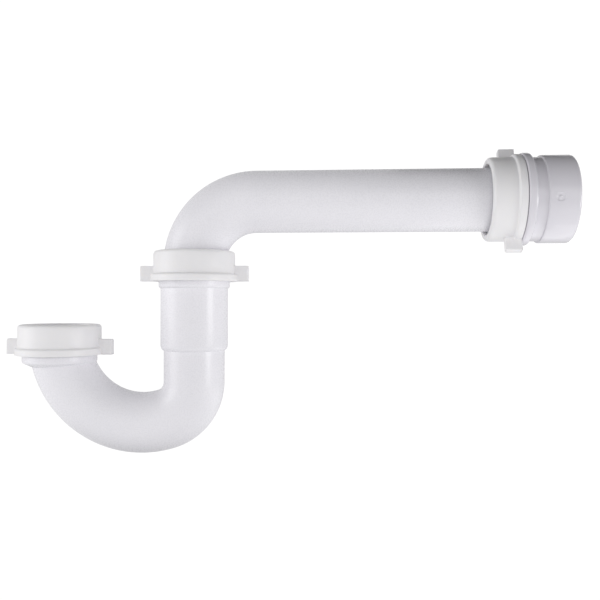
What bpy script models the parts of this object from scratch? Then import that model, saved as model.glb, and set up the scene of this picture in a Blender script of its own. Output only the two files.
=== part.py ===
"""Tubular P-trap with slip joints: trap adapter, trap arm, J-bend, three winged nuts and three washers.

Metres, +Z up. The origin is the centre of the adapter's open mouth, where the wall pipe goes in.
The trap arm runs along -X from there, and the two legs of the J-bend hang down in the XZ plane.
"""
from math import acos, cos, pi, radians, sin, tau

import bmesh
import bpy
from mathutils import Matrix, Vector

# Driving dimensions.
ARM_REACH = 0.2270           # wall pipe mouth to the axis of the trap arm's down leg
LEG_SPACING = 0.0860         # down leg's axis to the inlet's axis
ARM_RADIUS = 0.01905         # outside of the 1-1/2 in tubular trap arm
ARM_BORE = 0.01745
ELBOW_RADIUS = 0.0390        # centreline radius of the trap arm's wall bend
ARM_FOOT_Z = -0.0886         # open lower end of the trap arm
ARM_TIP_X = -0.0250          # open end of the trap arm inside the adapter
BEND_RADIUS = 0.01875        # outside of the moulded J-bend
BEND_BORE = 0.01690
INLET_TURN_RADIUS = 0.0527   # centreline radius of the wide turn under the inlet
OUTLET_TURN_RADIUS = 0.0245  # centreline radius of the tighter turn under the up leg
INLET_TURN_Z = -0.0845       # height of the wide turn's centre
SLIP_BORE = 0.01945          # bore of every slip socket
MID_SOCKET_RADIUS = 0.02075
MID_SOCKET_FLOOR_Z = -0.0892
SOCKET_STEP = 0.0026         # height of the shoulder where the up leg widens into its socket
MID_COLLAR_Z = -0.0522       # lower edge of the collar under the trap nut
COLLAR_STEP = 0.0012
BEAD_RADIUS = 0.0226         # collar under the inlet nut
BEAD_HEIGHT = 0.0044
BEAD_TAPER = 0.0025
BEAD_FOOT_RADIUS = 0.0176
MOUTH_FLOOR_DROP = 0.0010    # the inlet's slip bore ends this far below the top of the collar
BORE_OVERLAP = 0.003         # how far a waterway runs past the end of the pipe it opens

# Slip-joint thread: 11.5 threads to the inch, right-hand.
PITCH = 0.0254 / 11.5
THREAD_TURNS = 2.5
MALE_ROOT = 0.0220
FEMALE_ROOT = 0.02315
RIDGE_HEIGHT = 0.00075
RIDGE_BASE = 0.0014
RIDGE_TIP = 0.0005
RIDGE_EMBED = 0.0003         # how far a ridge reaches into the wall that carries it
THREAD_LEAD_IN = radians(2.3)  # where a ridge starts round its axis

# Slip nut, measured down its axis from the face that the tube enters.
NUT_HEIGHT = 0.0188
NUT_RADIUS = 0.0252
NUT_ROUNDING = 0.0020
LIP_THICKNESS = 0.0024
LIP_HOLE = 0.0212
LIP_CHAMFER = 0.0008
FLANGE_RADIUS = 0.0270
FLANGE_HEIGHT = 0.0042
FLANGE_ROUNDING = 0.0006
MOUTH_CHAMFER = 0.0006       # lead-in at the nut's open end
WING_REACH = 0.0340
WING_HEIGHT = 0.0097
WING_THICKNESS = 0.0050
WING_ROUNDING = 0.0010
WING_EMBED = 0.0012          # how far a wing's root reaches into the nut's wall
THREAD_START = 0.0066        # top of the male ridge, on the same scale

# Bevelled washer, on the same scale down from the nut's outer face.
WASHER_TOP = 0.0027
WASHER_EDGE = 0.0041
WASHER_FOOT = 0.0072
WASHER_RADIUS = 0.0221
WASHER_FOOT_RADIUS = 0.0200
WASHER_BORE_TOP = 0.0203
WASHER_BORE = 0.0194
SOCKET_RIM = 0.0058          # the threaded socket's rim
RIM_INNER_RADIUS = 0.0213
BEVEL_SLOPE = (WASHER_FOOT - WASHER_EDGE) / (WASHER_RADIUS - WASHER_FOOT_RADIUS)
BEVEL_END = SOCKET_RIM + (RIM_INNER_RADIUS - SLIP_BORE) * BEVEL_SLOPE
BEVEL_OVERRUN = 0.001        # how far the bevel's cutter stands above the rim

# Where each nut's outer face lies.
MID_NUT_Z = -0.0304
INLET_NUT_Z = -0.0762
OUTLET_NUT_X = -0.0486
OUTLET_NUT_TURN = radians(20)

# Trap adapter.
ADAPTER_COLLAR_RADIUS = 0.0277
ADAPTER_COLLAR_WIDTH = 0.0049
ADAPTER_COLLAR_ROUNDING = 0.0008
NECK_RADIUS = 0.0251
HUB_RADIUS = 0.0262
HUB_LENGTH = 0.0182
HUB_SHOULDER_ROUNDING = 0.0006
HUB_RIM_ROUNDING = 0.0010
HUB_BORE = 0.0242
HUB_CHAMFER = 0.0003
HUB_DEPTH = 0.0190
THROAT_RADIUS = 0.0183
TIP_CLEARANCE = 0.0008       # between the trap arm's end and the slip socket's floor

SEAM = 0.0003                # gap left between pieces that touch
TUBE_SEGMENTS = 32
BORE_SEGMENTS = 24
RIDGE_SEGMENTS = 24          # to one turn of thread
ELBOW_STEPS = 10
INLET_TURN_STEPS = 12
OUTLET_TURN_STEPS = 8
SHARP_ANGLE = radians(35)

# The wide turn hands over to the tight turn where the two circles touch.
INLET_TURN_CENTRE = Vector((-ARM_REACH - LEG_SPACING + INLET_TURN_RADIUS, 0, INLET_TURN_Z))
TURN_OFFSET_X = -ARM_REACH - OUTLET_TURN_RADIUS - INLET_TURN_CENTRE.x
TURN_DISTANCE = INLET_TURN_RADIUS - OUTLET_TURN_RADIUS
TIGHT_ANGLE = acos(TURN_OFFSET_X / TURN_DISTANCE)
OUTLET_TURN_CENTRE = INLET_TURN_CENTRE + Vector((TURN_OFFSET_X, 0, -TURN_DISTANCE * sin(TIGHT_ANGLE)))

PVC = (0.86, 0.87, 0.88)
NUT_WHITE = (0.88, 0.88, 0.86)
POLY = (0.80, 0.82, 0.82)
PVC_ROUGHNESS = 0.30
NUT_ROUGHNESS = 0.38
POLY_ROUGHNESS = 0.45


def material(name, colour, roughness):
    """A plastic with the given base colour and roughness."""
    made = bpy.data.materials.new(name)
    made.use_nodes = True
    shader = made.node_tree.nodes["Principled BSDF"]
    shader.inputs["Base Color"].default_value = (*colour, 1)
    shader.inputs["Roughness"].default_value = roughness
    shader.inputs["Metallic"].default_value = 0
    return made


def add_object(name, bm, finish=None):
    """Turns a bmesh into an object with outward faces."""
    bmesh.ops.remove_doubles(bm, verts=bm.verts, dist=1e-6)
    bmesh.ops.recalc_face_normals(bm, faces=bm.faces)
    mesh = bpy.data.meshes.new(name)
    bm.to_mesh(mesh)
    bm.free()
    if finish:
        mesh.materials.append(finish)
        mesh.shade_smooth()
        mesh.set_sharp_from_angle(angle=SHARP_ANGLE)
    made = bpy.data.objects.new(name, mesh)
    bpy.context.scene.collection.objects.link(made)
    return made


def turned(name, outline, finish=None, segments=TUBE_SEGMENTS):
    """Spins an outline of (radius, height) points about Z.

    An outline that starts on the axis ends there too; any other is closed on itself.
    """
    bm = bmesh.new()
    verts = [bm.verts.new((radius, 0, height)) for radius, height in outline]
    edges = [bm.edges.new(pair) for pair in zip(verts, verts[1:])]
    if outline[0][0] > 0:
        edges.append(bm.edges.new((verts[-1], verts[0])))
    bmesh.ops.spin(bm, geom=verts + edges, cent=(0, 0, 0), axis=(0, 0, 1), angle=tau, steps=segments,
                   use_merge=True)
    return add_object(name, bm, finish)


def pipe_run(name, radius, start, heading, moves, finish=None, segments=TUBE_SEGMENTS):
    """Carries a round disc along straight moves and turns, and leaves a closed solid.

    A move is ("straight", length), ("flare", length, new radius) or ("turn", centre, angle about +Y, steps).
    """
    bm = bmesh.new()
    facing = heading.to_track_quat("Z", "Y").to_matrix().to_4x4()
    bmesh.ops.create_circle(bm, cap_ends=True, segments=segments, radius=radius,
                            matrix=Matrix.Translation(start) @ facing)
    end = list(bm.faces)
    for count, move in enumerate(moves):
        left_behind = end if count else []
        if move[0] == "turn":
            _, centre, angle, steps = move
            spun = bmesh.ops.spin(bm, geom=end, cent=centre, axis=(0, 1, 0), angle=angle, steps=steps)
            end = [item for item in spun["geom_last"] if isinstance(item, bmesh.types.BMFace)]
            heading = Matrix.Rotation(angle, 3, "Y") @ heading
        else:
            grown = bmesh.ops.extrude_face_region(bm, geom=end)["geom"]
            end = [item for item in grown if isinstance(item, bmesh.types.BMFace)]
            ring = {vert for face in end for vert in face.verts}
            bmesh.ops.translate(bm, verts=list(ring), vec=heading * move[1])
        if move[0] == "flare":
            centre = sum((vert.co for vert in ring), Vector()) / len(ring)
            bmesh.ops.scale(bm, verts=list(ring), vec=Vector((1, 1, 1)) * (move[2] / radius),
                            space=Matrix.Translation(-centre))
            radius = move[2]
        bmesh.ops.delete(bm, geom=left_behind, context="FACES_ONLY")
    return add_object(name, bm, finish)


def thread_ridge(name, root, outward):
    """A helical ridge about Z under a nut's outer face.

    outward is 1 for a ridge on the outside of a socket and -1 for one inside a nut, half a pitch lower.
    """
    flank = (RIDGE_BASE - RIDGE_TIP) / 2
    embed_run = flank / RIDGE_HEIGHT * RIDGE_EMBED
    base = root - outward * RIDGE_EMBED
    crest = root + outward * RIDGE_HEIGHT
    length = THREAD_TURNS * PITCH
    foot = -THREAD_START - RIDGE_BASE - length
    if outward < 0:
        foot -= PITCH / 2
    outline = [(base, -embed_run), (crest, flank), (crest, flank + RIDGE_TIP), (base, RIDGE_BASE + embed_run)]
    bm = bmesh.new()
    face = bm.faces.new([bm.verts.new((radius, 0, foot + height)) for radius, height in outline])
    bmesh.ops.rotate(bm, verts=bm.verts, cent=(0, 0, 0), matrix=Matrix.Rotation(THREAD_LEAD_IN, 3, "Z"))
    steps = round(THREAD_TURNS * RIDGE_SEGMENTS)
    bmesh.ops.spin(bm, geom=[face], cent=(0, 0, 0), axis=(0, 0, 1), dvec=(0, 0, length / steps),
                   angle=THREAD_TURNS * tau, steps=steps)
    return add_object(name, bm)


def combine(body, tool, operation):
    """Adds or removes a hidden tool shape."""
    step = body.modifiers.new(tool.name, "BOOLEAN")
    step.operation = operation
    step.solver = "EXACT"
    step.object = tool
    tool.hide_render = True
    tool.display_type = "WIRE"


def place(piece, matrix):
    """Stands a piece, and the hidden shapes that it is made with, at a joint's axis."""
    for step in piece.modifiers:
        step.object.matrix_world = matrix
    piece.matrix_world = matrix


def wing(name, side):
    """One finger wing, flush with the nut's open face."""
    inner = NUT_RADIUS - WING_EMBED
    bm = bmesh.new()
    size = Matrix.Diagonal((WING_REACH - inner, WING_THICKNESS, WING_HEIGHT, 1))
    centre = Vector(((WING_REACH + inner) / 2 * side, 0, -NUT_HEIGHT + WING_HEIGHT / 2))
    bmesh.ops.create_cube(bm, size=1, matrix=Matrix.Translation(centre) @ size)
    outer = [edge for edge in bm.edges
             if all(vert.co.x * side > inner + WING_ROUNDING for vert in edge.verts)]
    bmesh.ops.bevel(bm, geom=outer, offset=WING_ROUNDING, segments=1, affect="EDGES")
    return add_object(name, bm)


def slip_nut(name, finish):
    """A winged slip nut: its outer face lies at the origin and its open end points down -Z."""
    flange_top = -NUT_HEIGHT + FLANGE_HEIGHT
    nut = turned(name, [
        (LIP_HOLE + LIP_CHAMFER, 0), (NUT_RADIUS - NUT_ROUNDING, 0), (NUT_RADIUS, -NUT_ROUNDING),
        (NUT_RADIUS, flange_top + FLANGE_ROUNDING), (FLANGE_RADIUS - FLANGE_ROUNDING, flange_top),
        (FLANGE_RADIUS, flange_top - FLANGE_ROUNDING), (FLANGE_RADIUS, -NUT_HEIGHT),
        (FEMALE_ROOT + MOUTH_CHAMFER, -NUT_HEIGHT), (FEMALE_ROOT, -NUT_HEIGHT + MOUTH_CHAMFER),
        (FEMALE_ROOT, -LIP_THICKNESS), (LIP_HOLE, -LIP_THICKNESS), (LIP_HOLE, -LIP_CHAMFER)], finish)
    for label, side in (("wing_a", 1), ("wing_b", -1)):
        combine(nut, wing(f"{name}_{label}", side), "UNION")
    combine(nut, thread_ridge(f"{name}_thread", FEMALE_ROOT, -1), "UNION")
    return nut


def washer(name, finish):
    """A bevelled slip-joint washer, on the same axis and scale as its nut."""
    return turned(name, [
        (WASHER_BORE_TOP, -WASHER_TOP), (WASHER_RADIUS, -WASHER_TOP), (WASHER_RADIUS, -WASHER_EDGE),
        (WASHER_FOOT_RADIUS, -WASHER_FOOT), (WASHER_BORE, -WASHER_FOOT)], finish)


def socket_bore(name, depth):
    """The space inside a threaded socket: a bevelled mouth over a straight bore."""
    top = -SOCKET_RIM + BEVEL_OVERRUN
    return turned(name, [
        (0, top), (RIM_INNER_RADIUS + BEVEL_OVERRUN / BEVEL_SLOPE, top),
        (SLIP_BORE, -BEVEL_END), (SLIP_BORE, -depth), (0, -depth)])


def trap_arm(finish):
    """The long tube with a wall bend, open at both ends."""
    elbow_centre = Vector((-ARM_REACH + ELBOW_RADIUS, 0, -ELBOW_RADIUS))
    leg = -ELBOW_RADIUS - ARM_FOOT_Z
    reach = ARM_REACH - ELBOW_RADIUS + ARM_TIP_X
    foot = Vector((-ARM_REACH, 0, ARM_FOOT_Z))
    up = Vector((0, 0, 1))
    arm = pipe_run("trap_arm", ARM_RADIUS, foot, up,
                   [("straight", leg), ("turn", elbow_centre, pi / 2, ELBOW_STEPS),
                    ("straight", reach)], finish)
    bore = pipe_run("trap_arm_bore", ARM_BORE, foot - up * BORE_OVERLAP, up,
                    [("straight", leg + BORE_OVERLAP), ("turn", elbow_centre, pi / 2, ELBOW_STEPS),
                     ("straight", reach + BORE_OVERLAP)], segments=BORE_SEGMENTS)
    combine(arm, bore, "DIFFERENCE")
    return arm


def j_bend(finish):
    """The J-bend in one moulding: threaded inlet, two turns, up leg and threaded socket."""
    inlet = Vector((-ARM_REACH - LEG_SPACING, 0, INLET_TURN_Z))
    down = Vector((0, 0, -1))
    turns = [("turn", INLET_TURN_CENTRE, TIGHT_ANGLE - pi, INLET_TURN_STEPS),
             ("turn", OUTLET_TURN_CENTRE, -TIGHT_ANGLE, OUTLET_TURN_STEPS)]
    up_leg = MID_SOCKET_FLOOR_Z - SOCKET_STEP - OUTLET_TURN_CENTRE.z
    bend = pipe_run("j_bend", BEND_RADIUS, inlet, down, turns + [
        ("straight", up_leg), ("flare", SOCKET_STEP, MID_SOCKET_RADIUS),
        ("straight", MID_COLLAR_Z - COLLAR_STEP - MID_SOCKET_FLOOR_Z), ("flare", COLLAR_STEP, MALE_ROOT),
        ("straight", MID_NUT_Z - SOCKET_RIM - MID_COLLAR_Z)], finish)

    bead_top = NUT_HEIGHT + SEAM
    bead_foot = bead_top + BEAD_HEIGHT
    mouth = turned("j_bend_mouth", [
        (0, -SOCKET_RIM), (MALE_ROOT, -SOCKET_RIM), (MALE_ROOT, -bead_top), (BEAD_RADIUS, -bead_top),
        (BEAD_RADIUS, -bead_foot), (BEAD_FOOT_RADIUS, -bead_foot - BEAD_TAPER), (0, -bead_foot - BEAD_TAPER)])
    waterway = pipe_run("j_bend_waterway", BEND_BORE, inlet - down * BORE_OVERLAP, down,
                        [("straight", BORE_OVERLAP)] + turns +
                        [("straight", up_leg + SOCKET_STEP + BORE_OVERLAP)], segments=BORE_SEGMENTS)
    riser = Matrix.Translation((-ARM_REACH, 0, MID_NUT_Z))
    throat = Matrix.Translation((-ARM_REACH - LEG_SPACING, 0, INLET_NUT_Z))
    steps = ((mouth, throat, "UNION"),
             (thread_ridge("j_bend_socket_thread", MALE_ROOT, 1), riser, "UNION"),
             (thread_ridge("j_bend_mouth_thread", MALE_ROOT, 1), throat, "UNION"),
             (socket_bore("j_bend_socket_bore", MID_NUT_Z - MID_SOCKET_FLOOR_Z), riser, "DIFFERENCE"),
             (socket_bore("j_bend_mouth_bore", bead_top + MOUTH_FLOOR_DROP), throat, "DIFFERENCE"),
             (waterway, Matrix(), "DIFFERENCE"))
    for tool, where, operation in steps:
        tool.matrix_world = where
        combine(bend, tool, operation)
    return bend


def trap_adapter(finish):
    """The fitting on the wall pipe: threaded slip socket, collar, neck and hub, on -Z from the nut's face."""
    hub = -OUTLET_NUT_X
    collar = NUT_HEIGHT + SEAM
    neck = collar + ADAPTER_COLLAR_WIDTH
    shoulder = hub - HUB_LENGTH
    floor = hub - HUB_DEPTH
    slip_floor = hub + ARM_TIP_X + TIP_CLEARANCE
    adapter = turned("trap_adapter", [
        (RIM_INNER_RADIUS, -SOCKET_RIM), (MALE_ROOT, -SOCKET_RIM), (MALE_ROOT, -collar),
        (ADAPTER_COLLAR_RADIUS - ADAPTER_COLLAR_ROUNDING, -collar),
        (ADAPTER_COLLAR_RADIUS, -collar - ADAPTER_COLLAR_ROUNDING),
        (ADAPTER_COLLAR_RADIUS, -neck + ADAPTER_COLLAR_ROUNDING),
        (ADAPTER_COLLAR_RADIUS - ADAPTER_COLLAR_ROUNDING, -neck),
        (NECK_RADIUS, -neck), (NECK_RADIUS, -shoulder), (HUB_RADIUS - HUB_SHOULDER_ROUNDING, -shoulder),
        (HUB_RADIUS, -shoulder - HUB_SHOULDER_ROUNDING), (HUB_RADIUS, -hub + HUB_RIM_ROUNDING),
        (HUB_RADIUS - HUB_RIM_ROUNDING, -hub), (HUB_BORE + HUB_CHAMFER, -hub),
        (HUB_BORE, -hub + HUB_CHAMFER), (HUB_BORE, -floor), (THROAT_RADIUS, -floor),
        (THROAT_RADIUS, -slip_floor), (SLIP_BORE, -slip_floor), (SLIP_BORE, -BEVEL_END)], finish)
    combine(adapter, thread_ridge("trap_adapter_thread", MALE_ROOT, 1), "UNION")
    return adapter


def main():
    for old in list(bpy.data.objects):
        bpy.data.objects.remove(old)

    pvc = material("pvc", PVC, PVC_ROUGHNESS)
    nut_plastic = material("nut_plastic", NUT_WHITE, NUT_ROUGHNESS)
    poly = material("poly", POLY, POLY_ROUGHNESS)

    riser = Matrix.Translation((-ARM_REACH, 0, MID_NUT_Z))
    inlet = Matrix.Translation((-ARM_REACH - LEG_SPACING, 0, INLET_NUT_Z))
    outlet = Matrix.Translation((OUTLET_NUT_X, 0, 0)) @ Matrix.Rotation(-pi / 2, 4, "Y")

    place(trap_adapter(pvc), outlet)
    backed_off = Matrix.Translation((0, 0, PITCH * OUTLET_NUT_TURN / tau))
    turned_nut = outlet @ Matrix.Rotation(OUTLET_NUT_TURN, 4, "Z") @ backed_off
    place(slip_nut("outlet_nut", nut_plastic), turned_nut)
    place(washer("outlet_washer", poly), outlet)
    trap_arm(pvc)
    place(slip_nut("mid_nut", nut_plastic), riser)
    place(washer("mid_washer", poly), riser)
    j_bend(pvc)
    place(slip_nut("inlet_nut", nut_plastic), inlet)
    place(washer("inlet_washer", poly), inlet)


main()
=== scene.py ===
# %% [markdown]
# # A slip-joint P-trap
# A P-trap is the bent drain pipe under a sink. Water stands in its lowest bend and keeps drain
# smells out of the room. This lesson builds one in nine pieces: a trap adapter on the wall pipe,
# a trap arm with a wall bend, a J-bend, three winged slip nuts and the three washers that they
# squeeze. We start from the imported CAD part, which says where each piece is and what moves, and
# we give each piece a finer mesh and a finish. Lengths are in metres, and Z points up.

from math import acos, cos, degrees, pi, radians, sin, tau

import bmesh
import bpy
from mathutils import Matrix, Vector


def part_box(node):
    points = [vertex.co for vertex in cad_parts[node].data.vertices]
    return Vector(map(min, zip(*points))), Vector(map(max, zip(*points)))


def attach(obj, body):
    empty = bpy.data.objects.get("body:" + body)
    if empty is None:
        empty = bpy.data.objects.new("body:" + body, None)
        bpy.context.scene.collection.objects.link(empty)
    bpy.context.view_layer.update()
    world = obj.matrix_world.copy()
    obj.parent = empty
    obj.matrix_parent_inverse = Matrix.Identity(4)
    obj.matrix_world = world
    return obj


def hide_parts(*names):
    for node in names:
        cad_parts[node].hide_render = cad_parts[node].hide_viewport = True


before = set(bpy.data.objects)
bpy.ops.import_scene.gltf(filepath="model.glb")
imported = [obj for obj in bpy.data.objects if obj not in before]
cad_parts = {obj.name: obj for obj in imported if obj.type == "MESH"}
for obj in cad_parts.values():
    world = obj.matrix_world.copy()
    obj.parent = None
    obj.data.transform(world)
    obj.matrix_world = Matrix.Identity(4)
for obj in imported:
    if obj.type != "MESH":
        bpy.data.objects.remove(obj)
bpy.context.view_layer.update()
print("CAD nodes:", sorted(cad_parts))

# %% [markdown]
# ## Sizes
# The arm is 1-1/2 inch tubular drain pipe, 38.1 mm across. Slip sockets, nuts and washers all
# follow from that. The numbers below are the sizes of the CAD part, so that every piece lands on
# the one it stands for. Everything on a slip joint is measured from the nut's outer face, which
# is the side that the tube enters.

# %% The tubes
ARM_REACH = 0.2270            # wall pipe mouth to the axis of the down leg
LEG_SPACING = 0.0860          # between the down leg and the inlet
ARM_RADIUS = 0.01905
ARM_WALL = 0.0016
ELBOW_RADIUS = 0.0390
ARM_FOOT_Z = -0.0886
ARM_TIP_X = -0.0250
BEND_RADIUS = 0.01875
BEND_BORE = 0.01690
WIDE_TURN_RADIUS = 0.0527
TIGHT_TURN_RADIUS = 0.0245
WIDE_TURN_Z = -0.0845

riser_x = -ARM_REACH
inlet_x = -ARM_REACH - LEG_SPACING
wide_centre = Vector((inlet_x + WIDE_TURN_RADIUS, 0, WIDE_TURN_Z))
handover_x = riser_x - TIGHT_TURN_RADIUS - wide_centre.x
handover = WIDE_TURN_RADIUS - TIGHT_TURN_RADIUS
tight_angle = acos(handover_x / handover)
tight_centre = wide_centre + Vector((handover_x, 0, -handover * sin(tight_angle)))
print("the wide turn sweeps", round(degrees(pi - tight_angle), 1), "degrees, the tight one the rest")

# %% The slip joints
PITCH = 0.0254 / 11.5         # 11.5 threads to the inch
THREAD_TURNS = 2.5
MALE_ROOT = 0.0220
FEMALE_ROOT = 0.02315
THREAD_START = 0.0066
RIDGE_HEIGHT = 0.00075
RIDGE_BASE = 0.0014
RIDGE_TIP = 0.0005
RIDGE_EMBED = 0.0003
NUT_HEIGHT = 0.0188
NUT_RADIUS = 0.0252
SOCKET_RIM = 0.0058
SLIP_BORE = 0.01945
MID_NUT_Z = -0.0304
INLET_NUT_Z = -0.0762
OUTLET_NUT_X = -0.0486
OUTLET_NUT_TURN = radians(20)
SEAM = 0.0003
SIDES = 96                    # round a tube; three of them make a wing's thickness
THREAD_LEAD_IN = radians(1.9)  # turns a ridge so that its corners miss the tube's
MOUTH_TURN = radians(0.7)
BORE_TURN = radians(1.1)

riser_place = Matrix.Translation((riser_x, 0, MID_NUT_Z))
inlet_place = Matrix.Translation((inlet_x, 0, INLET_NUT_Z))
outlet_place = Matrix.Translation((OUTLET_NUT_X, 0, 0)) @ Matrix.Rotation(-pi / 2, 4, "Y")
backed_off = Matrix.Translation((0, 0, PITCH * OUTLET_NUT_TURN / tau))
outlet_nut_place = outlet_place @ Matrix.Rotation(OUTLET_NUT_TURN, 4, "Z") @ backed_off

# %% [markdown]
# ## A few modelling moves
# Every piece here is round, so each starts as one ring of points. A ring is extruded along the
# axis and resized, again and again, as a potter pulls up a wall. The helpers below do that with
# the same operators that a person clicks in edit mode. Rims are picked by their radius and height
# and bevelled afterwards, because a moulded edge is never sharp.

# %% Picking and starting
def nothing_selected():
    """Leaves edit mode and deselects every object."""
    if bpy.context.mode != "OBJECT":
        bpy.ops.object.mode_set(mode="OBJECT")
    bpy.ops.object.select_all(action="DESELECT")


def pick(test, kind="edges"):
    """Selects the edges or faces of the mesh in edit mode that pass a test."""
    bpy.ops.mesh.select_mode(type="EDGE" if kind == "edges" else "FACE")
    bpy.ops.mesh.select_all(action="DESELECT")
    mesh = bmesh.from_edit_mesh(bpy.context.object.data)
    for item in getattr(mesh, kind):
        if test(item):
            item.select_set(True)
    bmesh.update_edit_mesh(bpy.context.object.data)


def start_ring(name, radius, height=0.0, centre=(0, 0)):
    """Adds a flat ring of points and goes into edit mode with it selected."""
    nothing_selected()
    bpy.ops.mesh.primitive_circle_add(vertices=SIDES, radius=radius, location=(*centre, height))
    bpy.ops.object.transform_apply(location=True, rotation=True, scale=True)
    piece = bpy.context.object
    piece.name = piece.data.name = name
    bpy.ops.object.mode_set(mode="EDIT")
    bpy.ops.mesh.select_mode(type="VERT")
    bpy.ops.mesh.select_all(action="SELECT")
    return piece


def pull(outline, centre=(0, 0)):
    """Extrudes the selected ring up or down Z through (radius, height) points."""
    for (radius, height), (next_radius, next_height) in zip(outline, outline[1:]):
        bpy.ops.mesh.extrude_region_move(
            TRANSFORM_OT_translate={"value": (0, 0, next_height - height)})
        share = next_radius / radius
        bpy.ops.transform.resize(value=(share, share, 1), center_override=(*centre, next_height))


# %% Closing, rounding and joining
def close_up(bridge=False):
    """Joins the two open rings to each other, or caps each, and turns all faces outwards."""
    bpy.ops.mesh.select_mode(type="VERT")
    bpy.ops.mesh.select_non_manifold(extend=False)
    if bridge:
        bpy.ops.mesh.bridge_edge_loops()
    else:
        bpy.ops.mesh.fill_holes(sides=0)
    bpy.ops.mesh.select_all(action="SELECT")
    bpy.ops.mesh.remove_doubles(threshold=1e-6)
    bpy.ops.mesh.normals_make_consistent(inside=False)


def soften(rims, steps=3):
    """Bevels rings given as (radius, height, width)."""
    for radius, height, width in rims:
        pick(lambda edge: all(abs(v.co.xy.length - radius) < 2e-5 and abs(v.co.z - height) < 2e-5
                              for v in edge.verts))
        bpy.ops.mesh.bevel(offset=width, segments=steps, affect="EDGES", clamp_overlap=False)


def turned(name, outline, rims=(), hollow=True):
    """A round piece from its outline of (radius, height) points."""
    piece = start_ring(name, *outline[0])
    pull(outline)
    close_up(bridge=hollow)
    soften(rims)
    nothing_selected()
    return piece


def apply_modifier(piece, kind, **settings):
    """Adds a modifier and applies it at once."""
    nothing_selected()
    piece.select_set(True)
    bpy.context.view_layer.objects.active = piece
    step = piece.modifiers.new(kind.title(), kind)
    for setting, value in settings.items():
        setattr(step, setting, value)
    bpy.ops.object.modifier_apply(modifier=step.name)


def join_solid(piece, tool, operation):
    """Adds a tool shape to a piece or cuts it away, and throws the tool away."""
    apply_modifier(piece, "BOOLEAN", object=tool, operation=operation, solver="EXACT")
    bpy.data.objects.remove(tool)


def put(piece, matrix):
    """Moves a mesh to its place and leaves its object at the origin."""
    nothing_selected()
    piece.select_set(True)
    bpy.context.view_layer.objects.active = piece
    piece.matrix_world = matrix
    bpy.ops.object.transform_apply(location=True, rotation=True, scale=True)


# %% [markdown]
# ## The thread
# A slip nut pulls itself along a coarse screw thread. The ridge starts as a small plane stood on
# edge, narrowed at its crest, and a Screw modifier winds its outline up the axis. The same shape
# turned inwards is the thread inside a nut, and it lies half a pitch lower so that the two ridges
# pass between each other.

# %% Thread ridges
def thread_ridge(name, root, outward):
    """A helical ridge about Z, on the outside of a socket (1) or inside a nut (-1)."""
    flank = (RIDGE_BASE - RIDGE_TIP) / 2
    crest = root + outward * RIDGE_HEIGHT
    base = root - outward * RIDGE_EMBED
    run = flank / RIDGE_HEIGHT * RIDGE_EMBED
    length = THREAD_TURNS * PITCH
    foot = -THREAD_START - RIDGE_BASE - length - (PITCH / 2 if outward < 0 else 0)
    middle = foot + RIDGE_BASE / 2
    nothing_selected()
    bpy.ops.mesh.primitive_plane_add(size=1, location=((base + crest) / 2, 0, middle),
                                     rotation=(pi / 2, 0, 0))
    ridge = bpy.context.object
    ridge.name = ridge.data.name = name
    ridge.scale = (abs(crest - base), RIDGE_BASE + 2 * run, 1)
    bpy.ops.object.transform_apply(location=True, rotation=True, scale=True)
    bpy.ops.object.mode_set(mode="EDIT")
    pick(lambda edge: all(abs(v.co.x - crest) < 1e-5 for v in edge.verts))
    bpy.ops.transform.resize(value=(1, 1, RIDGE_TIP / (RIDGE_BASE + 2 * run)),
                             center_override=(crest, 0, middle))
    bpy.ops.mesh.select_all(action="SELECT")
    bpy.ops.mesh.delete(type="ONLY_FACE")
    nothing_selected()
    steps = round(THREAD_TURNS * SIDES)
    apply_modifier(ridge, "SCREW", angle=THREAD_TURNS * tau, screw_offset=length, steps=steps,
                   render_steps=steps)
    bpy.ops.object.mode_set(mode="EDIT")
    close_up()
    put(ridge, Matrix.Rotation(THREAD_LEAD_IN, 4, "Z"))
    return ridge


# %% [markdown]
# ## The trap arm
# The arm is a thin tube with one bend. It could be a curve with a round bevel, but a ring that is
# extruded up the down leg, spun through the wall bend and extruded along the arm gives the same
# shape with evenly spaced rings, and the wall is then added inwards by Solidify.

# %% Build the trap arm
def sweep(turn_centre, angle, steps):
    """Spins the selected ring about a line along Y; a positive angle turns it clockwise."""
    bpy.ops.mesh.spin(steps=steps, angle=angle, center=turn_centre, axis=(0, 1, 0))


ELBOW_STEPS = 40
trap_arm = start_ring("trap_arm_tube", ARM_RADIUS, ARM_FOOT_Z, (riser_x, 0))
bpy.ops.mesh.extrude_region_move(
    TRANSFORM_OT_translate={"value": (0, 0, -ELBOW_RADIUS - ARM_FOOT_Z)})
sweep((riser_x + ELBOW_RADIUS, 0, -ELBOW_RADIUS), -pi / 2, ELBOW_STEPS)
bpy.ops.mesh.extrude_region_move(
    TRANSFORM_OT_translate={"value": (ARM_REACH - ELBOW_RADIUS + ARM_TIP_X, 0, 0)})
bpy.ops.mesh.select_all(action="SELECT")
bpy.ops.mesh.remove_doubles(threshold=1e-6)
bpy.ops.mesh.normals_make_consistent(inside=False)
nothing_selected()
apply_modifier(trap_arm, "SOLIDIFY", thickness=ARM_WALL, offset=-1, use_even_offset=True)
apply_modifier(trap_arm, "BEVEL", width=0.0004, segments=3, limit_method="ANGLE",
               angle_limit=radians(60), use_clamp_overlap=False)
print("trap arm:", len(trap_arm.data.polygons), "faces")

# %% [markdown]
# ## The J-bend
# The J-bend is one moulding: a collared, threaded inlet, a wide turn under it, a tighter turn, the
# up leg, and a wider threaded socket that the arm slides into. The run of tube is swept first,
# rings only, with both ends capped. The inlet and its collar are then joined on by a Boolean,
# because they meet the curved tube at a slant that no ring follows. The bores are cut last.

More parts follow.
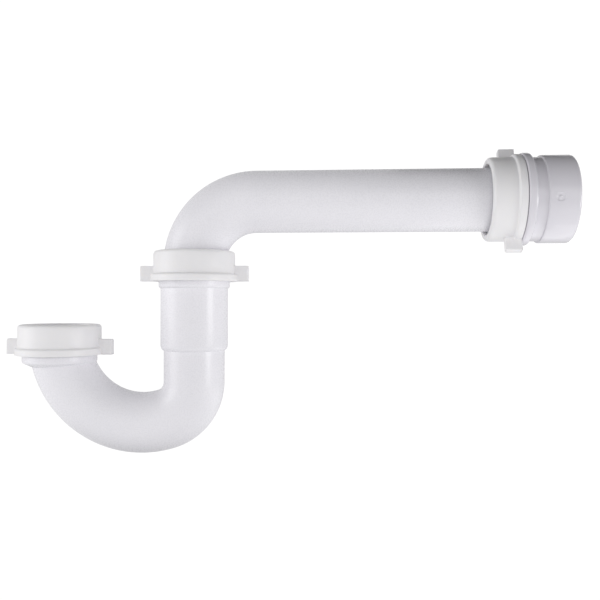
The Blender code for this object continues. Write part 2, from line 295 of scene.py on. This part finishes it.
# %% Sweep the run of the J-bend
MID_SOCKET_RADIUS = 0.02075
MID_SOCKET_FLOOR_Z = -0.0892
MID_COLLAR_Z = -0.0522
RIM_EASE = 0.0004             # how far a socket's rim is eased
WIDE_STEPS = 56
TIGHT_STEPS = 36
BORE_WIDE_STEPS = 50
BORE_TIGHT_STEPS = 32
BORE_OVERLAP = 0.003          # how far a waterway runs past the end of the tube it opens
rim_z = MID_NUT_Z - SOCKET_RIM
leg_axis = (riser_x, 0)

j_bend = start_ring("j_bend_shell", BEND_RADIUS, WIDE_TURN_Z, (inlet_x, 0))
sweep(wide_centre, pi - tight_angle, WIDE_STEPS)
sweep(tight_centre, tight_angle, TIGHT_STEPS)
socket_shoulder = [(BEND_RADIUS, -0.0920), (0.0190, -0.09185), (0.0197, -0.0914),
                   (0.0203, -0.0906), (0.0206, -0.0897), (MID_SOCKET_RADIUS, -0.0886)]
collar_flare = [(MID_SOCKET_RADIUS, -0.0537), (0.0209, -0.0535), (0.02145, -0.0532),
                (0.0218, -0.0527), (MALE_ROOT, MID_COLLAR_Z + RIM_EASE)]
rim = [(MALE_ROOT, rim_z - RIM_EASE), (MALE_ROOT - RIM_EASE, rim_z)]
pull([(BEND_RADIUS, tight_centre.z), *socket_shoulder, *collar_flare, *rim], leg_axis)
close_up()
nothing_selected()
print("J-bend run:", len(j_bend.data.polygons), "faces")

# %% Its inlet, threads and bores
COLLAR_RADIUS = 0.0226
COLLAR_HEIGHT = 0.0044
COLLAR_TAPER = 0.0025
COLLAR_FOOT_RADIUS = 0.0176
RIM_INNER_RADIUS = 0.0213
BEVEL_SLOPE = 0.0031 / 0.0021  # of the mouth that the washer seats in
BEVEL_OVERRUN = 0.001         # how far the bore's tool stands above the rim
MOUTH_FLOOR_DROP = 0.0010     # the inlet's bore ends this far below the collar's top

collar_top = -NUT_HEIGHT - SEAM
collar_foot = collar_top - COLLAR_HEIGHT
bevel_end = -SOCKET_RIM - (RIM_INNER_RADIUS - SLIP_BORE) * BEVEL_SLOPE
mouth = turned("mouth", [
    (MALE_ROOT, -SOCKET_RIM), (MALE_ROOT, collar_top), (COLLAR_RADIUS, collar_top),
    (COLLAR_RADIUS, collar_foot), (COLLAR_FOOT_RADIUS, collar_foot - COLLAR_TAPER)],
    [(MALE_ROOT, -SOCKET_RIM, 0.0004), (COLLAR_RADIUS, collar_top, 0.0003),
     (COLLAR_RADIUS, collar_foot, 0.0007)], hollow=False)
put(mouth, inlet_place @ Matrix.Rotation(MOUTH_TURN, 4, "Z"))
join_solid(j_bend, mouth, "UNION")


def socket_bore(name, floor):
    """The space inside a threaded socket: a bevelled mouth over a straight bore."""
    return turned(name, [
        (RIM_INNER_RADIUS + BEVEL_OVERRUN / BEVEL_SLOPE, BEVEL_OVERRUN - SOCKET_RIM),
        (SLIP_BORE, bevel_end),
        (SLIP_BORE, floor)], hollow=False)


mouth_floor = collar_top - MOUTH_FLOOR_DROP
for place, floor in ((riser_place, MID_SOCKET_FLOOR_Z - MID_NUT_Z), (inlet_place, mouth_floor)):
    ridge = thread_ridge("socket_thread", MALE_ROOT, 1)
    put(ridge, place)
    join_solid(j_bend, ridge, "UNION")
    bore = socket_bore("socket_bore", floor)
    put(bore, place @ Matrix.Rotation(BORE_TURN, 4, "Z"))
    join_solid(j_bend, bore, "DIFFERENCE")

waterway = start_ring("waterway", BEND_BORE, WIDE_TURN_Z + BORE_OVERLAP, (inlet_x, 0))
bpy.ops.mesh.extrude_region_move(TRANSFORM_OT_translate={"value": (0, 0, -BORE_OVERLAP)})
sweep(wide_centre, pi - tight_angle, BORE_WIDE_STEPS)
sweep(tight_centre, tight_angle, BORE_TIGHT_STEPS)
pull([(BEND_BORE, tight_centre.z), (BEND_BORE, MID_SOCKET_FLOOR_Z + BORE_OVERLAP)], leg_axis)
close_up()
join_solid(j_bend, waterway, "DIFFERENCE")
print("J-bend:", len(j_bend.data.polygons), "faces")

# %% [markdown]
# ## The slip nuts
# All three nuts are the same moulding: a plain ring with a rounded lip, a flange round its open
# end, and two finger wings. One is modelled and copied. The wings could be boxes joined on, but
# extruding three of the ring's ninety-six strips on each side keeps one clean mesh, so that the
# roots and edges can be bevelled like the rest.

# %% The ring of the nut
LIP_HOLE = 0.0212
LIP_THICKNESS = 0.0024
FLANGE_RADIUS = 0.0270
FLANGE_HEIGHT = 0.0042
WING_REACH = 0.0340
WING_HEIGHT = 0.0097
flange_top = FLANGE_HEIGHT - NUT_HEIGHT
wing_top = WING_HEIGHT - NUT_HEIGHT

nut = turned("slip_nut", [
    (LIP_HOLE, 0), (NUT_RADIUS, 0), (NUT_RADIUS, wing_top), (NUT_RADIUS + 0.0001, flange_top + 0.0004),
    (FLANGE_RADIUS, flange_top), (FLANGE_RADIUS, -NUT_HEIGHT), (FEMALE_ROOT, -NUT_HEIGHT),
    (FEMALE_ROOT, -LIP_THICKNESS), (LIP_HOLE, -LIP_THICKNESS)],
    [(NUT_RADIUS, 0, 0.0021), (LIP_HOLE, 0, 0.0007), (FLANGE_RADIUS, flange_top, 0.0009),
     (NUT_RADIUS + 0.0001, flange_top + 0.0004, 0.0005), (FLANGE_RADIUS, -NUT_HEIGHT, 0.0003),
     (FEMALE_ROOT, -NUT_HEIGHT, 0.0006)])

# %% Its wings
WING_HALF_THICKNESS = 0.0024
strip = tau / SIDES


def on_wing_strips(face):
    """True for outer faces of the three strips round +X and round -X, at the wings' height."""
    centre = face.calc_center_median()
    sideways = abs(centre.y) < abs(centre.x) * sin(1.5 * strip)
    outer = centre.xy.length > NUT_RADIUS - 0.0003 and abs(face.normal.z) < 0.98
    return sideways and outer and centre.z < wing_top


def near(value, target, slack=3e-5):
    return abs(value - target) < slack


bpy.context.view_layer.objects.active = nut
bpy.ops.object.mode_set(mode="EDIT")
for side in (1, -1):
    pick(lambda face: on_wing_strips(face) and face.calc_center_median().x * side > 0, "faces")
    bpy.ops.mesh.extrude_region_move(TRANSFORM_OT_translate={"value": (0.004 * side, 0, 0)})
    bpy.ops.transform.resize(value=(0, 1, 1), center_override=(WING_REACH * side, 0, 0))
    for edge_side in (1, -1):
        pick(lambda edge: all(near(v.co.x, WING_REACH * side) and v.co.y * edge_side > 0.0015
                              for v in edge.verts))
        bpy.ops.transform.resize(value=(1, 0, 1),
                                 center_override=(0, WING_HALF_THICKNESS * edge_side, 0))
for height in (wing_top, -NUT_HEIGHT):
    pick(lambda edge: all(near(abs(v.co.x), WING_REACH) and near(v.co.z, height)
                          for v in edge.verts))
    bpy.ops.mesh.bevel(offset=0.0010, segments=4, affect="EDGES", clamp_overlap=False)


def wing_edge(edge):
    """True for the sharp outer edges of the wings and for their roots."""
    if len(edge.link_faces) != 2 or edge.calc_face_angle() < radians(50):
        return False
    middle = (edge.verts[0].co + edge.verts[1].co) / 2
    return abs(middle.x) > NUT_RADIUS - 0.0008 and abs(middle.y) < 0.0032 and middle.z < wing_top + 1e-4


pick(wing_edge)
bpy.ops.mesh.bevel(offset=0.00045, segments=3, affect="EDGES", clamp_overlap=False)
nothing_selected()
join_solid(nut, thread_ridge("nut_thread", FEMALE_ROOT, -1), "UNION")
print("slip nut:", len(nut.data.polygons), "faces")

# %% Three copies, each with its own mesh
def copies(original, places, ending):
    """One copy of a piece for each node, put at its place; the original is removed."""
    made = {}
    for node, place in places:
        copy = original.copy()
        copy.data = original.data.copy()
        copy.name = copy.data.name = node + ending
        bpy.context.scene.collection.objects.link(copy)
        put(copy, place)
        made[node] = copy
    bpy.data.objects.remove(original)
    return made


nuts = copies(nut, (("outlet_nut", outlet_nut_place), ("mid_nut", riser_place),
                    ("inlet_nut", inlet_place)), "_moulding")
print("nuts:", sorted(nuts))

# %% [markdown]
# ## The washers
# A bevelled washer sits in each nut, wide side against the nut's lip, and its cone is pressed into
# the socket's mouth. Little of it shows, only a milky ring in the gap round the tube. It is turned
# from five points, with its edges eased.

# %% Build the washers
WASHER_TOP = -0.0027
WASHER_EDGE = -0.0041
WASHER_FOOT = -0.0072
WASHER_RADIUS = 0.0221
WASHER_FOOT_RADIUS = 0.0200
WASHER_BORE_TOP = 0.0203
WASHER_BORE = 0.0194
WASHER_EASE = 0.0002
washer = turned("slip_washer", [
    (WASHER_BORE_TOP, WASHER_TOP), (WASHER_RADIUS, WASHER_TOP), (WASHER_RADIUS, WASHER_EDGE),
    (WASHER_FOOT_RADIUS, WASHER_FOOT), (WASHER_BORE, WASHER_FOOT)],
    [(WASHER_RADIUS, WASHER_TOP, WASHER_EASE), (WASHER_RADIUS, WASHER_EDGE, WASHER_EASE),
     (WASHER_BORE_TOP, WASHER_TOP, WASHER_EASE)])
washers = copies(washer, (("outlet_washer", outlet_place), ("mid_washer", riser_place),
                          ("inlet_washer", inlet_place)), "_ring")
print("washers:", sorted(washers))

# %% [markdown]
# ## The trap adapter
# The adapter is glued over the wall pipe and holds everything else up. It is a heavier moulding:
# a threaded socket, a thick collar that the nut closes up to, a shallow neck, and a hub with a
# softly rounded rim. A small round mark on the hub's side is where the plastic was let into the
# mould. It is cut as a shallow round recess with a nub in its middle.

# %% Build the adapter
ADAPTER_COLLAR_RADIUS = 0.0277
ADAPTER_COLLAR_WIDTH = 0.0049
NECK_RADIUS = 0.0251
HUB_RADIUS = 0.0262
HUB_LENGTH = 0.0182
HUB_BORE = 0.0242
HUB_DEPTH = 0.0190
THROAT_RADIUS = 0.0183
TIP_CLEARANCE = 0.0008        # between the trap arm's end and the slip socket's floor
hub_end = OUTLET_NUT_X
shoulder = hub_end + HUB_LENGTH
neck_top = collar_top - ADAPTER_COLLAR_WIDTH
slip_floor = OUTLET_NUT_X - ARM_TIP_X - TIP_CLEARANCE
adapter = turned("trap_adapter_body", [
    (RIM_INNER_RADIUS, -SOCKET_RIM), (MALE_ROOT, -SOCKET_RIM), (MALE_ROOT, collar_top),
    (ADAPTER_COLLAR_RADIUS, collar_top), (ADAPTER_COLLAR_RADIUS - 0.0001, neck_top),
    (NECK_RADIUS, neck_top), (NECK_RADIUS, shoulder), (HUB_RADIUS, shoulder),
    (HUB_RADIUS, hub_end), (HUB_BORE, hub_end), (HUB_BORE, hub_end + HUB_DEPTH),
    (THROAT_RADIUS, hub_end + HUB_DEPTH), (THROAT_RADIUS, slip_floor), (SLIP_BORE, slip_floor),
    (SLIP_BORE, bevel_end)],
    [(MALE_ROOT, -SOCKET_RIM, 0.0004), (ADAPTER_COLLAR_RADIUS, collar_top, 0.0012),
     (ADAPTER_COLLAR_RADIUS - 0.0001, neck_top, 0.0013), (NECK_RADIUS, neck_top, 0.0006),
     (NECK_RADIUS, shoulder, 0.0003), (HUB_RADIUS, shoulder, 0.0007),
     (HUB_RADIUS, hub_end, 0.0016), (HUB_BORE, hub_end, 0.0003)])
join_solid(adapter, thread_ridge("adapter_thread", MALE_ROOT, 1), "UNION")
put(adapter, outlet_place)

# %% [markdown]
# ## The gate mark
# Molten plastic enters the mould through a narrow gate, and snapping the sprue off leaves a small
# round mark. Cutting a shallow recess and adding a nub gives it real depth, where a painted or
# bumped mark would vanish from the side.

# %% Cut the gate mark
GATE_X = -0.0119
GATE_ANGLE = radians(-5)      # above the hub's side
GATE_RADIUS = 0.0026
gate_place = (Matrix.Translation((GATE_X, 0, 0)) @ Matrix.Rotation(pi / 2 - GATE_ANGLE, 4, "X"))
recess = turned("gate_recess", [
    (GATE_RADIUS - 0.0006, HUB_RADIUS - 0.00045), (GATE_RADIUS - 0.0002, HUB_RADIUS - 0.0003),
    (GATE_RADIUS, HUB_RADIUS - 0.0001), (GATE_RADIUS + 0.0003, HUB_RADIUS + 0.0005)], hollow=False)
put(recess, gate_place)
join_solid(adapter, recess, "DIFFERENCE")
nub = turned("gate_nub", [
    (0.0010, HUB_RADIUS - 0.0012), (0.0010, HUB_RADIUS - 0.0004), (0.0008, HUB_RADIUS - 0.00022),
    (0.0004, HUB_RADIUS - 0.00012)], hollow=False)
put(nub, gate_place)
join_solid(adapter, nub, "UNION")
print("adapter:", len(adapter.data.polygons), "faces")

# %% [markdown]
# ## Smooth and ride
# Each piece is shaded smooth except where two faces meet at a real edge. It then rides on the CAD
# body that it belongs to and stands for that body's node, so it moves when the joint moves.

# %% Hand the pieces over
pieces = [(trap_arm, "trap_arm", "tube_pvc"), (j_bend, "j_bend", "tube_pvc"),
          (adapter, "trap_adapter", "adapter_pvc")]
pieces += [(piece, node, "nut_plastic") for node, piece in nuts.items()]
pieces += [(piece, node, "poly_washer") for node, piece in washers.items()]
for piece, node, slot in pieces:
    nothing_selected()
    piece.select_set(True)
    bpy.context.view_layer.objects.active = piece
    bpy.ops.object.shade_smooth_by_angle(angle=radians(32))
    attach(piece, node)
    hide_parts(node)
    low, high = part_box(node)
    mine = [piece.matrix_world @ Vector(corner) for corner in piece.bound_box]
    grown = max(max(low[i] - min(c[i] for c in mine), max(c[i] for c in mine) - high[i])
                for i in range(3))
    print(f"{piece.name}: {len(piece.data.polygons)} faces, {grown * 1000:+.2f} mm beyond its node")

# %% [markdown]
# ## Finishes
# The tubes and the adapter are smooth white plastic, the nuts a warmer satin white, and the
# washers milky polyethylene. None is one flat colour: moulded plastic has faint cloudiness where
# it flowed, a skin like very fine orange peel, and small rubs from handling. The class below lets
# shader maths be written as ordinary sums.

# %% Shader sums
class Wire:
    """A shader socket that takes part in sums."""

    def __init__(self, recipe, socket):
        self.recipe = recipe
        self.socket = socket

    def sum_with(self, operation, first, second):
        return self.recipe.add("ShaderNodeMath", {"operation": operation}, {0: first, 1: second})

    def __add__(self, other):
        return self.sum_with("ADD", self, other)

    __radd__ = __add__

    def __sub__(self, other):
        return self.sum_with("SUBTRACT", self, other)

    def __rsub__(self, other):
        return self.sum_with("SUBTRACT", other, self)

    def __mul__(self, other):
        return self.sum_with("MULTIPLY", self, other)

    __rmul__ = __mul__


class Recipe:
    """A material, or the world, and the nodes that are added to it."""

    def __init__(self, block):
        self.block = block
        self.block.use_nodes = True
        self.nodes = self.block.node_tree.nodes
        self.shader = self.nodes.get("Principled BSDF")

    def add(self, kind, settings=None, inputs=None, output=0):
        node = self.nodes.new(kind)
        for setting, value in (settings or {}).items():
            setattr(node, setting, value)
        for socket, value in (inputs or {}).items():
            self.feed(node.inputs[socket], value)
        return Wire(self, node.outputs[output])

    def feed(self, socket, value):
        if isinstance(value, Wire):
            self.block.node_tree.links.new(value.socket, socket)
        else:
            socket.default_value = value

    def position(self):
        return self.add("ShaderNodeTexCoord", output="Object")

    def noise(self, vector, scale, detail=3.0, roughness=0.5):
        return self.add("ShaderNodeTexNoise", {"noise_dimensions": "3D"},
                        {"Vector": vector, "Scale": scale, "Detail": detail,
                         "Roughness": roughness})

    def band(self, value, low, high):
        """0 below low, 1 above high, and a smooth ramp between."""
        return self.add("ShaderNodeMapRange", {"interpolation_type": "SMOOTHSTEP"},
                        {"Value": value, "From Min": low, "From Max": high})

    def blend(self, factor, first, second):
        return self.add("ShaderNodeMix", {"data_type": "RGBA"}, {0: factor, 6: first, 7: second},
                        output=2)

    def part(self, vector, axis):
        return self.add("ShaderNodeSeparateXYZ", None, {0: vector}, output=axis)


# %% A white moulded plastic
def moulded_plastic(name, colour, cloud, gloss, peel, scuff=0.5, coat=0.0, inner_light=0.0,
                    parting=False):
    """White plastic: cloudy colour, orange-peel skin and light rubs.

    colour and cloud are the two tints it drifts between, gloss its roughness, peel the depth of
    its skin in metres, scuff how strong its rubs are.
    """
    recipe = Recipe(bpy.data.materials.new(name))
    place = recipe.position()
    drift = recipe.band(recipe.noise(place, 38.0, 2.0), 0.35, 0.68)
    specks = recipe.band(recipe.noise(place, 620.0, 2.0, 0.6), 0.70, 0.78)
    rub_field = recipe.noise(recipe.add("ShaderNodeMapping", None, {
        "Vector": place, "Rotation": (0.4, 0.9, 0.3), "Scale": (1.0, 5.0, 1.6)}), 75.0, 4.0, 0.62)
    rubs = recipe.band(rub_field, 0.60, 0.74) * scuff
    tint = recipe.blend(drift, (*colour, 1), (*cloud, 1))
    dusty = tuple(channel * 0.94 for channel in cloud)
    tint = recipe.blend(specks * 0.20 + rubs * 0.12, tint, (*dusty, 1))
    recipe.feed(recipe.shader.inputs["Base Color"], tint)
    fine = recipe.noise(place, 1500.0, 2.0)
    recipe.feed(recipe.shader.inputs["Roughness"], gloss + fine * 0.05 + rubs * 0.05)
    skin = recipe.noise(place, 520.0, 2.5, 0.55) + recipe.noise(place, 90.0, 2.0) * 2.2
    height = skin
    if parting:
        across = recipe.part(place, "Y")
        distance = recipe.add("ShaderNodeMath", {"operation": "ABSOLUTE"}, {0: across})
        height = height + (1 - recipe.band(distance, 0.00008, 0.00022)) * 2.5
    bump = recipe.add("ShaderNodeBump", None, {"Strength": 1.0, "Distance": peel,
                                               "Height": height})
    recipe.feed(recipe.shader.inputs["Normal"], bump)
    recipe.shader.inputs["IOR"].default_value = 1.5
    recipe.shader.inputs["Coat Weight"].default_value = coat
    recipe.shader.inputs["Coat Roughness"].default_value = 0.12
    if inner_light:
        recipe.shader.inputs["Subsurface Weight"].default_value = inner_light
        recipe.shader.inputs["Subsurface Radius"].default_value = (1.0, 0.95, 0.85)
        recipe.shader.inputs["Subsurface Scale"].default_value = 0.0015
    return recipe.block


finishes = {
    "tube_pvc": moulded_plastic("tube white", (0.862, 0.85, 0.892), (0.846, 0.836, 0.878), 0.25,
                                0.000012, parting=True),
    "adapter_pvc": moulded_plastic("adapter white", (0.755, 0.738, 0.79), (0.74, 0.723, 0.775), 0.14,
                                   0.000006, coat=0.35),
    "nut_plastic": moulded_plastic("nut white", (0.875, 0.865, 0.88), (0.86, 0.85, 0.865), 0.34,
                                   0.000016, inner_light=0.2),
    "poly_washer": moulded_plastic("washer poly", (0.76, 0.78, 0.775), (0.73, 0.75, 0.745), 0.42,
                                   0.000012, inner_light=0.5)}
for piece, node, slot in pieces:
    piece.data.materials.clear()
    piece.data.materials.append(finishes[slot])
print("finishes:", sorted(finishes))

# %% [markdown]
# ## The studio
# White plastic needs something darker to reflect, or it has no shape. The trap hangs over a pale
# floor in a soft room: dim overhead and behind, bright low down and to the left. The camera stands
# level with the J-bend's socket and looks along +Y.

# %% Levels of light
TABLE_GLOW = 0.30
FLOOR_GLOW = 0.55
HORIZON_LIGHT = 1.32
OVERHEAD_LIGHT = 0.34
BEHIND_LIGHT = 0.65
FRONT_LIGHT = 0.98
SEEN_WHITE = 1.05             # what the camera itself sees of the floor and the room

# %% [markdown]
# ## The camera
# A camera close to the trap shows the ends of the nuts as open ellipses; one far away flattens
# them to lines. This one stands about 42 cm off, with a lens to match.

# %% Camera
camera_data = bpy.data.cameras.new("camera")
camera = bpy.data.objects.new("camera", camera_data)
bpy.context.scene.collection.objects.link(camera)
camera_data.lens = 40.8
camera_data.sensor_width = 36
camera.location = (-0.1313, -0.4179, -0.06161)
yaw, pitch, roll = radians(-4.081), radians(0.135), radians(0.095)
forward = Vector((sin(yaw) * cos(pitch), cos(yaw) * cos(pitch), sin(pitch)))
facing = forward.to_track_quat("-Z", "Y").to_matrix().to_4x4() @ Matrix.Rotation(roll, 4, "Z")
camera.rotation_euler = facing.to_euler()
camera_data.clip_start = 0.01
bpy.context.scene.camera = camera
bpy.context.scene.view_settings.view_transform = "Standard"

# %% [markdown]
# ## The floor and the room
# A white object on white needs light from all round, yet not the same light. The floor glows
# where the bright table would be and dims below the bend. The room fades from a bright horizon to
# a dim ceiling. The camera sees both as plain white, and only the plastic sees the shading.

# %% Floor
FLOOR_Z = -0.24
TABLE_FRONT = -0.57           # the bright table ends here, towards the camera
TABLE_BACK = 0.45
SHADE_CENTRE = (-0.27, 0.0, FLOOR_Z)      # the trap keeps light off the floor below its bend
SHADE_RADIUS = 0.20
SHADE_DEPTH = 0.6
nothing_selected()
bpy.ops.mesh.primitive_plane_add(size=8, location=(-0.17, 0, FLOOR_Z))
bpy.ops.object.transform_apply(location=True, rotation=True, scale=True)
floor = bpy.context.object
floor.name = "studio_floor"
floor_paint = Recipe(bpy.data.materials.new("floor paint"))
along = floor_paint.part(floor_paint.position(), "Y")
table = floor_paint.band(along, TABLE_FRONT - 0.01, TABLE_FRONT) * (
    1 - floor_paint.band(along, TABLE_BACK - 0.3, TABLE_BACK))
from_shade = floor_paint.add("ShaderNodeVectorMath", {"operation": "DISTANCE"},
                             {0: floor_paint.position(), 1: SHADE_CENTRE}, output="Value")
under = 1 - (1 - floor_paint.band(from_shade, 0.0, SHADE_RADIUS)) * SHADE_DEPTH
glow = (table * TABLE_GLOW + FLOOR_GLOW) * under
lit = floor_paint.add("ShaderNodeEmission", None, {"Color": (1, 1, 1, 1), "Strength": glow})
clear = floor_paint.add("ShaderNodeEmission", None, {"Color": (1, 1, 1, 1), "Strength": SEEN_WHITE})
seen = floor_paint.add("ShaderNodeLightPath", output="Is Camera Ray")
surface = floor_paint.add("ShaderNodeMixShader", None, {0: seen, 1: lit, 2: clear})
floor_paint.feed(floor_paint.nodes["Material Output"].inputs["Surface"], surface)
floor_paint.nodes.remove(floor_paint.shader)
floor.data.materials.append(floor_paint.block)

# %% Room light
world = bpy.data.worlds.new("studio")
bpy.context.scene.world = world
room = Recipe(world)
direction = room.add("ShaderNodeTexCoord", output="Generated")
upward = room.band(room.part(direction, "Z"), -0.25, 0.95)
behind = room.band(room.part(direction, "Y"), 0.1, 0.9)
tone = room.blend(upward, (*[HORIZON_LIGHT] * 3, 1), (*[OVERHEAD_LIGHT] * 3, 1))
tone = room.blend(behind, tone, (*[BEHIND_LIGHT] * 3, 1))
ahead = room.band(0 - room.part(direction, "Y"), 0.86, 0.97)
tone = room.blend(ahead, tone, (*[FRONT_LIGHT] * 3, 1))
ambient = room.add("ShaderNodeBackground", None, {"Color": tone, "Strength": 1.0})
clear = room.add("ShaderNodeBackground", None, {"Color": (1, 1, 1, 1), "Strength": SEEN_WHITE})
seen = room.add("ShaderNodeLightPath", output="Is Camera Ray")
room.feed(room.nodes["World Output"].inputs["Surface"],
          room.add("ShaderNodeMixShader", None, {0: seen, 1: ambient, 2: clear}))


# %% [markdown]
# ## Lamps and a flag
# Broad lamps to the left, to the right and low down lay soft highlights along the tubes. A flag
# is a black cloth that takes light away; here it hangs over the adapter to darken its top. The
# camera does not see it.

# %% Lamps
def softbox(name, location, target, width, height, power):
    """A large soft lamp that points at a target."""
    lamp = bpy.data.lights.new(name, "AREA")
    lamp.shape = "RECTANGLE"
    lamp.size = width
    lamp.size_y = height
    lamp.energy = power
    holder = bpy.data.objects.new(name, lamp)
    bpy.context.scene.collection.objects.link(holder)
    holder.location = location
    aim = Vector(target) - Vector(location)
    holder.rotation_euler = aim.to_track_quat("-Z", "Y").to_euler()
    return holder


trap_middle = (-0.17, 0, -0.06)
softbox("left", (-1.2, -0.35, 0.0), trap_middle, 0.7, 0.9, 3.4)
softbox("right", (0.75, -0.42, -0.10), (-0.22, 0, -0.12), 0.36, 0.24, 1.7)
softbox("right_low", (0.02, 0.03, FLOOR_Z + 0.01), (-0.06, 0.0, 0.0), 0.22, 0.2, 0.1)

# %% Flag
nothing_selected()
FLAG_SIZE = 0.34
FLAG_PLACE = (0.08, -0.08, 0.10)   # above the adapter, so that its top turns dark
bpy.ops.mesh.primitive_plane_add(size=FLAG_SIZE, location=FLAG_PLACE)
flag = bpy.context.object
flag.name = "studio_flag"
flag.visible_camera = False
flag_cloth = Recipe(bpy.data.materials.new("flag cloth"))
flag_cloth.shader.inputs["Base Color"].default_value = (0.05, 0.05, 0.05, 1)
flag_cloth.shader.inputs["Roughness"].default_value = 0.9
flag.data.materials.append(flag_cloth.block)
